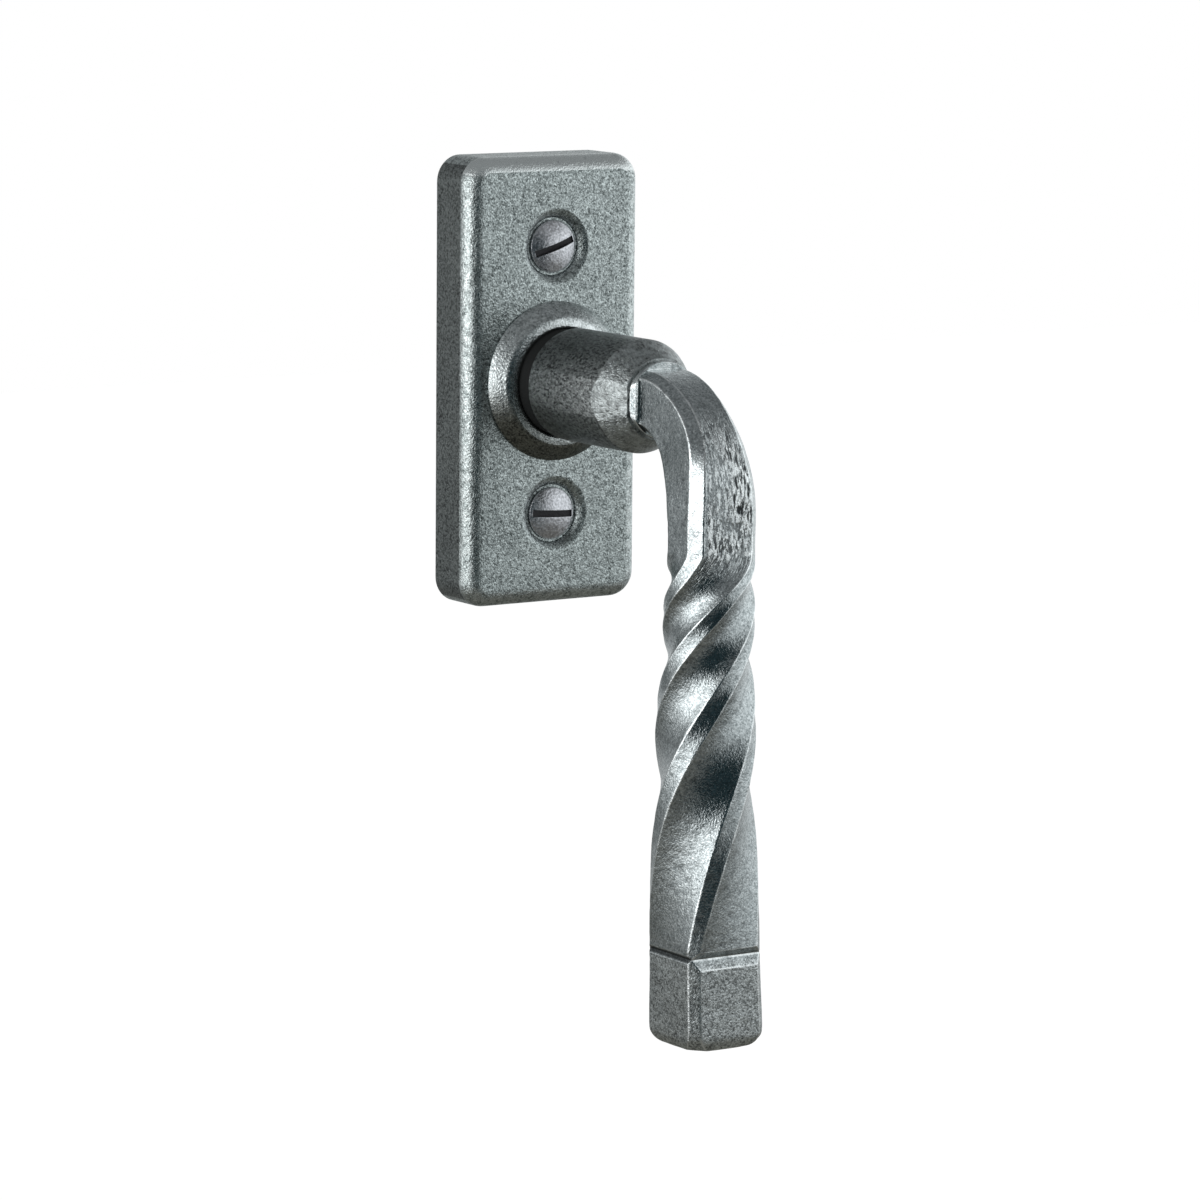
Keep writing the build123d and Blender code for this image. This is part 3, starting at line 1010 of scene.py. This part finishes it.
def circle_ring(ring, radius, level):
    """Place a ring's points on a circle round the spindle's axis, with its left side ground flat."""
    left = collar_lean * max(level - neck_high.z, 0) - collar_flat
    for number, point in enumerate(ring):
        angle = 2 * pi * number / len(ring)
        point.co = (max(radius * cos(angle), left), radius * sin(angle), level)


bar_bm = bmesh.new()
straight = bar_bm.verts.layers.float_vector.new("straight")
ring_points = bmesh.ops.create_circle(bar_bm, segments=POINTS, radius=1, cap_ends=False)["verts"]
for number, (radius, level) in enumerate(tenon + collar):
    if number:
        ring_points = extrude_ring(bar_bm, ring_points)
    circle_ring(ring_points, radius, neck_high.z + level)
print("tenon and collar:", len(bar_bm.faces), "faces")

# %% Extrude the bar
end_cap = (0.94, 0.8, 0.6, 0.4, 0.2, 0.001)
for along in bar_steps()[1:]:
    ring_points = extrude_ring(bar_bm, ring_points)
    lay_out(ring_points, along, straight)
for shrink in end_cap:
    ring_points = extrude_ring(bar_bm, ring_points)
    lay_out(ring_points, bar_steps()[-1], straight, shrink)
clean(bar_bm, 0.02)
print("bar:", len(bar_bm.faces), "faces")

# %% [markdown]
# ## What use and the forge leave on the bar
#
# Forging leaves shallow dents, a few pits and cracked scale, and use rubs the ridges. The hollows
# are real geometry: every point moves inwards a little by noise. The colours come from the material,
# which reads four marks that the mesh gets here: worn where the surface bends most, and as a painted
# highlight along the leaning chamfer; rough on the outside of the bend; grime on the foot; and pit
# in the deepest places, and as painted shade in the shallow chisel cuts.

# %% Dents, pits and cracks
CRACK_SIZES = (1.1, 1.1, 3.2)
CRACK_SEED = 1
# noise_vector starts from the clock unless it is given a seed, and the cracks would never repeat.
noise.seed_set(CRACK_SEED)


def dent(place, depth, size):
    """A shallow swell of the surface inwards, from 0 to twice the depth."""
    return depth * (1 + noise.noise(place / size))


def pitted(place, size, share):
    """Depth of a pit as a share: a round hollow in some cells of a cell noise."""
    distances, points = noise.voronoi(place / size)
    chosen = 0.5 + 0.5 * noise.cell(points[0] * 7.3)
    radius = 0.22 + 0.25 * chosen
    return max(0, 1 - (distances[0] / radius) ** 2) if chosen > 1 - share else 0


def cracked(place):
    """Forge scale that has cracked off, drawn out along the bar: 1 in a crack and 0 beside it."""
    drawn = Vector(length / size for length, size in zip(place, CRACK_SIZES))
    drawn += noise.noise_vector(drawn * 1.7) * 0.35
    distances, points = noise.voronoi(drawn)
    return max(1 - (distances[1] - distances[0]) / 0.3, 0)


print("cracks drawn out over", CRACK_SIZES[2], "mm")

# %% Where the bar is rubbed, painted bright and rough
highlight_start, highlight_end = 15, 34
rough_start, rough_end = 9, 36


def chamfer_highlight(place, width, thickness, corner, swell):
    """Painted highlight on the leaning chamfer, a little smoother too, from the bend to the twist."""
    beside = place.x < corner - width / 2
    in_front = place.y + (swell - thickness) / 2 > -1.4 * corner
    if not (beside and in_front):
        return 0
    return 0.75 * ease((place.z - highlight_start) / 3.5) * ease((highlight_end - place.z) / 4)


def outer_face(place, width, thickness, corner, swell):
    """1 on the outside of the bend, fading out at its sides and ends."""
    share = ease((place.y + swell / 2 - thickness / 2 + 0.3) / 0.2)
    share *= ease((width / 2 - corner - abs(place.x)) / 0.5)
    return share * ease((rough_end - place.z) / 8) * ease((place.z - rough_start) / 9)


def in_nick(place, thickness, swell):
    """How far into a shallow chisel cut a place is, from 0 at its border to 1 in its middle."""
    near = 1 - abs(drop_at(place.z) - chisel_place) / nick_reach
    on_face = abs(place.y + swell / 2) > thickness / 2 - nick_depth - 0.05
    return near if near > 0 and on_face else 0


print("rough from", rough_start, "to", rough_end, "mm along the bar")

# %% Weather the bar
RIDGE_ANGLE = radians(11)
broad_dent, broad_dent_size = 0.05, 4.5
small_dent, small_dent_size = 0.03, 1.3
crack_depth = 0.05
pit_depth = 0.1
pit_size, pit_share, pit_dark = 1.5, 0.25, 0.35
patch_size = 5.5
foot_grime = 0.85
nick_shade = 0.85
wear_and_highlight_mark = bar_bm.verts.layers.float.new("wear_and_highlight")
pit_and_nick_shade_mark = bar_bm.verts.layers.float.new("pit")
rough_mark = bar_bm.verts.layers.float.new("rough")
grime_mark = bar_bm.verts.layers.float.new("grime_and_shade")


def weather(v):
    """Mark a point of the bar, and say how far inwards it moves."""
    place = v[straight]
    section = section_sizes(place.z)
    ridge = max((e.calc_face_angle() for e in v.link_edges if len(e.link_faces) == 2), default=0)
    outer = outer_face(place, *section)
    broken = ease(0.5 + 1.4 * noise.noise(place / patch_size))
    pit = pit_dark * pitted(place, pit_size, pit_share) * (1 - outer)
    nick = in_nick(place, section[1], section[3])
    v[rough_mark] = outer * (0.45 + 0.55 * broken)
    v[grime_mark] = foot_grime * ease((drop_at(place.z) - chisel_place) / 1.5)
    v[wear_and_highlight_mark] = 0 if nick else max(min(ridge / RIDGE_ANGLE, 1) ** 2, chamfer_highlight(place, *section))
    # In the shallow chisel cuts the pit mark is painted shade.
    v[pit_and_nick_shade_mark] = nick_shade * ease(2 * nick) if nick else pit
    dents = dent(v.co, broad_dent, broad_dent_size) + dent(v.co, small_dent, small_dent_size)
    return dents + crack_depth * cracked(place) * v[rough_mark] + pit_depth * pit


bar_bm.normal_update()
moves = [(v, weather(v)) for v in bar_bm.verts]
tenon_top = neck_high.z + 1.4
for v, depth in moves:
    if v.co.z > tenon_top:
        v.co -= v.normal * depth
print("deepest hollow: %.2f mm" % max(depth for v, depth in moves))
install(to_object(bar_bm, "bar"), "lever_bar", "lever", bar_steel)

# %% [markdown]
# ## Screws
#
# A screw's head is turned and then slotted. The thread is a spin as well, but one that moves along
# the axis as it turns: a profile of one groove goes round once for each pitch.

# %% Blank and thread
head_rise = 1.0
head_land = 0.5
plain_radius = 2.25
thread_start = -8.0
thread_depth = 0.45
pitch = 0.8
THREAD_STEPS = 28
DOME_STEPS = 14


def screw_blank(front, back):
    """Head, plain shank and core of a screw as one turned piece."""
    seat = front - head_rise - head_land
    core = shank_radius - thread_depth
    parts = [step / DOME_STEPS for step in range(DOME_STEPS)]
    dome = [(head_radius * part, front - head_rise * part**2) for part in parts]
    outline = [*dome, (head_radius, front - head_rise), (head_radius, seat)]
    outline += [(plain_radius, seat - head_radius + plain_radius), (plain_radius, thread_start + 1)]
    outline += [(core, thread_start + 0.6), (core, back + 0.4), (1.6, back), (0, back)]
    return spin_outline(outline, closed=False)


def thread(start, end):
    """The thread's ridge, wound round the shank from start to end."""
    bm = bmesh.new()
    core = shank_radius - thread_depth - 0.02
    shape = [(core, 0), (shank_radius, 0.34), (shank_radius, 0.46), (core, pitch)]
    points = [bm.verts.new((radius, 0, start + height)) for radius, height in shape]
    edges = [bm.edges.new(pair) for pair in zip(points, points[1:])]
    turns = int((end - start) / pitch)
    bmesh.ops.spin(
        bm,
        geom=points + edges,
        cent=(0, 0, 0),
        axis=(0, 0, 1),
        dvec=(0, 0, pitch / THREAD_STEPS),
        angle=2 * pi * turns,
        steps=THREAD_STEPS * turns,
    )
    clean(bm)
    mesh = bpy.data.meshes.new("thread")
    bm.to_mesh(mesh)
    bm.free()
    return mesh


print("thread of", pitch, "mm pitch")

# %% Fixing screws
slot_width = 1.1
slot_depth = 1.1
slot_reach = 3.7


def slotted(screw, front, slot_turn):
    """Cut the slot, and hand the screw back as a bmesh with its slot's lips rounded."""
    half = slot_width / 2
    tool = slab((-slot_reach, -half, front - slot_depth), (slot_reach, half, front + 1), "slot_tool")
    # The slot's faces take the near-black painted shade.
    tool.data.materials.append(slot_shade)
    tool.data.transform(Matrix.Rotation(radians(slot_turn), 4, "Z"))
    cut(screw, [tool])
    bm = bmesh.new()
    bm.from_mesh(screw.data)
    lips = [e for e in bm.edges if len({f.material_index for f in e.link_faces}) == 2]
    round_edges(bm, lips, 0.16, 2, material=0)
    return bm


def fixing_screw(name, node, slot_turn):
    """One screw with its slot and its thread, at its place."""
    low, high = bench_box(node)
    blank = screw_blank(high.z, low.z)
    break_edges(blank, 0.1, limit=radians(40))
    screw = to_object(blank, name)
    screw.data.materials.append(zinc_plating)
    bm = slotted(screw, high.z, slot_turn)
    ridge = thread(low.z + 0.6, thread_start)
    bm.from_mesh(ridge)
    bpy.data.meshes.remove(ridge)
    bmesh.ops.translate(bm, vec=(0, (low.y + high.y) / 2, 0), verts=bm.verts)
    bm.to_mesh(screw.data)
    bm.free()
    install(screw, node, "fixed", zinc_plating, slot_shade)


fixing_screw("screw_upper", "fixing_screw_upper", 18)
fixing_screw("screw_lower", "fixing_screw_lower", -3)

# %% [markdown]
# ## Sleeves
#
# A nylon sleeve on each screw stands out behind the plate and finds its hole in the window. It is
# turned like the bush, with a chamfer on its nose that leads it in.

# %% Locating sleeves
sleeve_body = 4.6
nose_chamfer = 0.5


def sleeve(name, node):
    """A nylon sleeve with a chamfered nose."""
    low, high = bench_box(node)
    nose = high.x
    bm = spin_outline(
        [
            (screw_hole, low.z),
            (nose - nose_chamfer, low.z),
            (nose, low.z + nose_chamfer),
            (nose, 0),
            (sleeve_body, 0),
            (sleeve_body, high.z),
            (screw_hole, high.z),
        ]
    )
    break_edges(bm, 0.12)
    bmesh.ops.translate(bm, vec=(0, (low.y + high.y) / 2, 0), verts=bm.verts)
    install(to_object(bm, name), node, "fixed", nylon)


sleeve("sleeve_upper", "locating_sleeve_upper")
sleeve("sleeve_lower", "locating_sleeve_lower")

# %% [markdown]
# ## The parts behind the plate
#
# The base, the detent and the spindle are seen only from behind. Their CAD solids are already
# right, and only their edges are too crisp. A copy of each is merged, its flat faces are joined, and
# its sharp edges are broken a little.

# %% Copies with broken edges
TO_BENCH = Matrix.Scale(1 / MM, 4) @ UPRIGHT.transposed().to_4x4()


def softened(name, node, body, width, material):
    """A copy of a CAD node whose edges are broken."""
    bm = bmesh.new()
    bm.from_mesh(nodes[node].data)
    bmesh.ops.transform(bm, matrix=TO_BENCH, verts=bm.verts)
    bmesh.ops.remove_doubles(bm, verts=bm.verts, dist=1e-3)
    bmesh.ops.dissolve_limit(bm, angle_limit=radians(1), verts=bm.verts, edges=bm.edges)
    break_edges(bm, width, limit=radians(40))
    install(to_object(bm, name), node, body, material)


softened("base_casting", "base_plate", "fixed", 0.12, cast_zinc)
softened("spring_sheet", "spring_plate", "fixed", 0.08, zinc_plating)
softened("left_leaf", "leaf_spring_left", "fixed", 0.05, spring_finish)
softened("right_leaf", "leaf_spring_right", "fixed", 0.05, spring_finish)
softened("square_spindle", "spindle", "lever", 0.15, zinc_plating)
softened("cross_pin", "spindle_pin", "lever", 0.1, turned_finish)
softened("cam", "detent_cam", "lever", 0.1, turned_finish)
softened("washer", "thrust_washer", "lever", 0.06, zinc_plating)
softened("clip", "retaining_ring", "lever", 0.08, spring_finish)

# %% [markdown]
# ## The camera
#
# The photograph was taken from a little under a metre away, from the left and slightly above, with
# a long lens. A new camera looks straight down, so it is tilted up to just below the horizon and
# then turned to its heading. Aiming it with a constraint would do as well, but angles are plainer.

# %% Camera
camera_place = Vector((-0.48127, -0.76785, 0.09831))
camera_heading = 32.893
camera_tilt = -8.476
camera_roll = 0.481
camera_data = bpy.data.cameras.new("camera")
camera_data.sensor_width = 36
camera_data.lens = 168.93
camera_data.clip_start, camera_data.clip_end = 0.05, 20
camera = bpy.data.objects.new("camera", camera_data)
bpy.context.scene.collection.objects.link(camera)
turned = Matrix.Rotation(radians(-camera_heading), 4, "Z")
tilted = Matrix.Rotation(radians(90 + camera_tilt), 4, "X")
rolled = Matrix.Rotation(radians(camera_roll), 4, "Z")
camera.matrix_world = Matrix.Translation(camera_place) @ turned @ tilted @ rolled
bpy.context.scene.camera = camera
print("camera %.2f m from the spindle" % camera_place.length)

# %% [markdown]
# ## The studio
#
# The handle hangs in front of white. Floor and world are white to the camera and in reflections,
# and plain grey for all other light, so that they don't flood the handle. Three soft lamps light
# the plastic and the floor.

# %% White surroundings
def seen_directly(tree):
    """1 where the camera, a gloss or glass looks, and 0 for all other light."""
    path = tree.nodes.new("ShaderNodeLightPath")
    seen = calculate(tree, "MAXIMUM", path.outputs["Is Camera Ray"], path.outputs["Is Glossy Ray"])
    return calculate(tree, "MAXIMUM", seen, path.outputs["Is Transmission Ray"])


world = bpy.data.worlds.new("world")
bpy.context.scene.world = world
world.use_nodes = True
tree = world.node_tree
soft = tree.nodes["Background"]
soft.inputs["Color"].default_value = (0.8, 0.8, 0.8, 1)
soft.inputs["Strength"].default_value = 0.5
white = tree.nodes.new("ShaderNodeBackground")
white.inputs["Color"].default_value = (1, 1, 1, 1)
mix = tree.nodes.new("ShaderNodeMixShader")
tree.links.new(seen_directly(tree), mix.inputs["Fac"])
tree.links.new(soft.outputs[0], mix.inputs[1])
tree.links.new(white.outputs[0], mix.inputs[2])
tree.links.new(mix.outputs[0], tree.nodes["World Output"].inputs["Surface"])
print("world with", len(tree.nodes), "nodes")

# %% Floor
floor_size = 8
floor_level = -0.5
floor_glow = 0.85
floor_bm = bmesh.new()
bmesh.ops.create_grid(floor_bm, x_segments=1, y_segments=1, size=floor_size / 2)
bmesh.ops.translate(floor_bm, vec=(0, 0, floor_level), verts=floor_bm.verts)
floor = to_object(floor_bm, "floor")
floor_paint, tree, shader = new_material("floor_paint")
shader.inputs["Base Color"].default_value = (0.3, 0.3, 0.3, 1)
shader.inputs["Roughness"].default_value = 0.9
shader.inputs["Emission Color"].default_value = (1, 1, 1, 1)
glow_strength = times(tree, seen_directly(tree), floor_glow)
tree.links.new(glow_strength, shader.inputs["Emission Strength"])
floor.data.materials.append(floor_paint)
print("floor", -floor_level, "m below the spindle")

# %% Lamps
LAMP_AIM = Vector((0, -0.03, -0.02))


def lamp(name, place, width, height, power):
    """An oblong soft lamp aimed at the handle. The metal sees the tent instead of it."""
    data = bpy.data.lights.new(name, "AREA")
    data.shape = "RECTANGLE"
    data.size, data.size_y = width, height
    data.energy = power
    thing = bpy.data.objects.new(name, data)
    bpy.context.scene.collection.objects.link(thing)
    turn = (Vector(place) - LAMP_AIM).to_track_quat("Z", "Y").to_matrix().to_4x4()
    thing.matrix_world = Matrix.Translation(place) @ turn
    thing.visible_glossy = False
    print("lamp", name, power, "W")


lamp("key", (-0.8, -0.09, 0.15), 1.0, 0.7, 5)
lamp("fill", (0.9, -1.0, 0.3), 1.4, 1.4, 6)
lamp("top", (-0.1, -0.5, 1.3), 0.5, 0.5, 2)

# %% [markdown]
# ## The light tent
#
# Bare metal shows its surroundings more than its own colour, so the surroundings are what has to be
# built: a light tent with a bright soft lamp on its left, a pale wall on its right, a dark gap
# towards the camera and grey cloth all round. Cards could be set up one by one, but their edges
# would show on the twist, so here one dome fades from one light to the next.

# %% Directions in the tent
TENT_MIDDLE = Vector((0, -0.045, -0.045))
TENT_RADIUS = 0.32


def vector_sum(tree, operation, first, second=None):
    """One operation on vectors."""
    node = tree.nodes.new("ShaderNodeVectorMath")
    node.operation = operation
    tree.links.new(first, node.inputs[0])
    if second:
        node.inputs[1].default_value = second
    return node.outputs["Value" if operation == "DOT_PRODUCT" else "Vector"]


def look_round(tree):
    """Heading on the level and height on the unit sphere, seen from the tent's middle."""
    place = tree.nodes.new("ShaderNodeTexCoord").outputs["Object"]
    ray = vector_sum(tree, "NORMALIZE", vector_sum(tree, "SUBTRACT", place, TENT_MIDDLE))
    level_ray = vector_sum(tree, "MULTIPLY", ray, (1, 1, 0))
    return vector_sum(tree, "NORMALIZE", level_ray), vector_sum(tree, "DOT_PRODUCT", ray, (0, 0, 1))


def facing(tree, heading, azimuth, inner, outer):
    """1 within inner degrees of an azimuth, 0 beyond outer degrees; 0 is the room, -90 the left."""
    aim = (sin(radians(azimuth)), -cos(radians(azimuth)), 0)
    match = vector_sum(tree, "DOT_PRODUCT", heading, aim)
    return remap(tree, match, cos(radians(outer)), cos(radians(inner)))


def between(tree, height, low, full, even, high):
    """1 from full to even on the unit sphere's height, fading to 0 at low and at high."""
    rise = remap(tree, height, low, full)
    return times(tree, rise, remap(tree, height, even, high, 1.0, 0.0))


print("tent", 2 * TENT_RADIUS, "m across")

# %% Lights of the tent
FLOOR_CLOTH = (0.15, 0.15, 0.135)
WALL_CLOTH = (0.24, 0.255, 0.26)
ROOF_CLOTH = (0.21, 0.222, 0.228)
BACK_CLOTH = (0.72, 0.75, 0.76)
LAMP_LIGHT = (2.8, 2.88, 2.9)
PALE_WALL = (1.05, 1.11, 1.13)
DARK_GAP = (0.02, 0.036, 0.042)
# Colour, how quickly it falls off sideways, its azimuth with inner and outer reach, its heights.
TENT_LIGHTS = (
    (BACK_CLOTH, 1.0, (140, 15, 60), (-0.45, 0.0, 0.3, 0.6)),
    (LAMP_LIGHT, 2.4, (-88, 0, 62), (-0.44, 0.26, 0.28, 0.66)),
    (PALE_WALL, 1.0, (75, 0, 85), (-0.43, 0.03, 0.44, 0.7)),
    (DARK_GAP, 1.0, (-23, 30, 41), (-0.46, -0.28, 0.46, 0.66)),
)


def tent_light(tree):
    """Colour of the tent in each direction from its middle."""
    heading, height = look_round(tree)
    light = blend_colour(tree, remap(tree, height, -0.65, -0.15), FLOOR_CLOTH, WALL_CLOTH)
    light = blend_colour(tree, remap(tree, height, 0.4, 0.8), light, ROOF_CLOTH)
    for colour, fall, directions, heights in TENT_LIGHTS:
        share = calculate(tree, "POWER", facing(tree, heading, *directions), fall)
        light = blend_colour(tree, times(tree, share, between(tree, height, *heights)), light, colour)
    return light


tent_bm = bmesh.new()
bmesh.ops.create_icosphere(tent_bm, subdivisions=4, radius=TENT_RADIUS)
bmesh.ops.translate(tent_bm, vec=TENT_MIDDLE, verts=tent_bm.verts)
tent = to_object(tent_bm, "tent")
tent_cloth, tree, shader = new_material("tent_cloth")
glow = tree.nodes.new("ShaderNodeEmission")
tree.links.new(tent_light(tree), glow.inputs["Color"])
tree.links.new(glow.outputs[0], tree.nodes["Material Output"].inputs["Surface"])
tent.data.materials.append(tent_cloth)
tent.visible_camera = False
tent.visible_shadow = False
tent.visible_diffuse = False
tent.visible_transmission = False
print("tent material:", len(tree.nodes), "nodes")

# %% Colour and sizes
bpy.context.scene.view_settings.view_transform = "Standard"
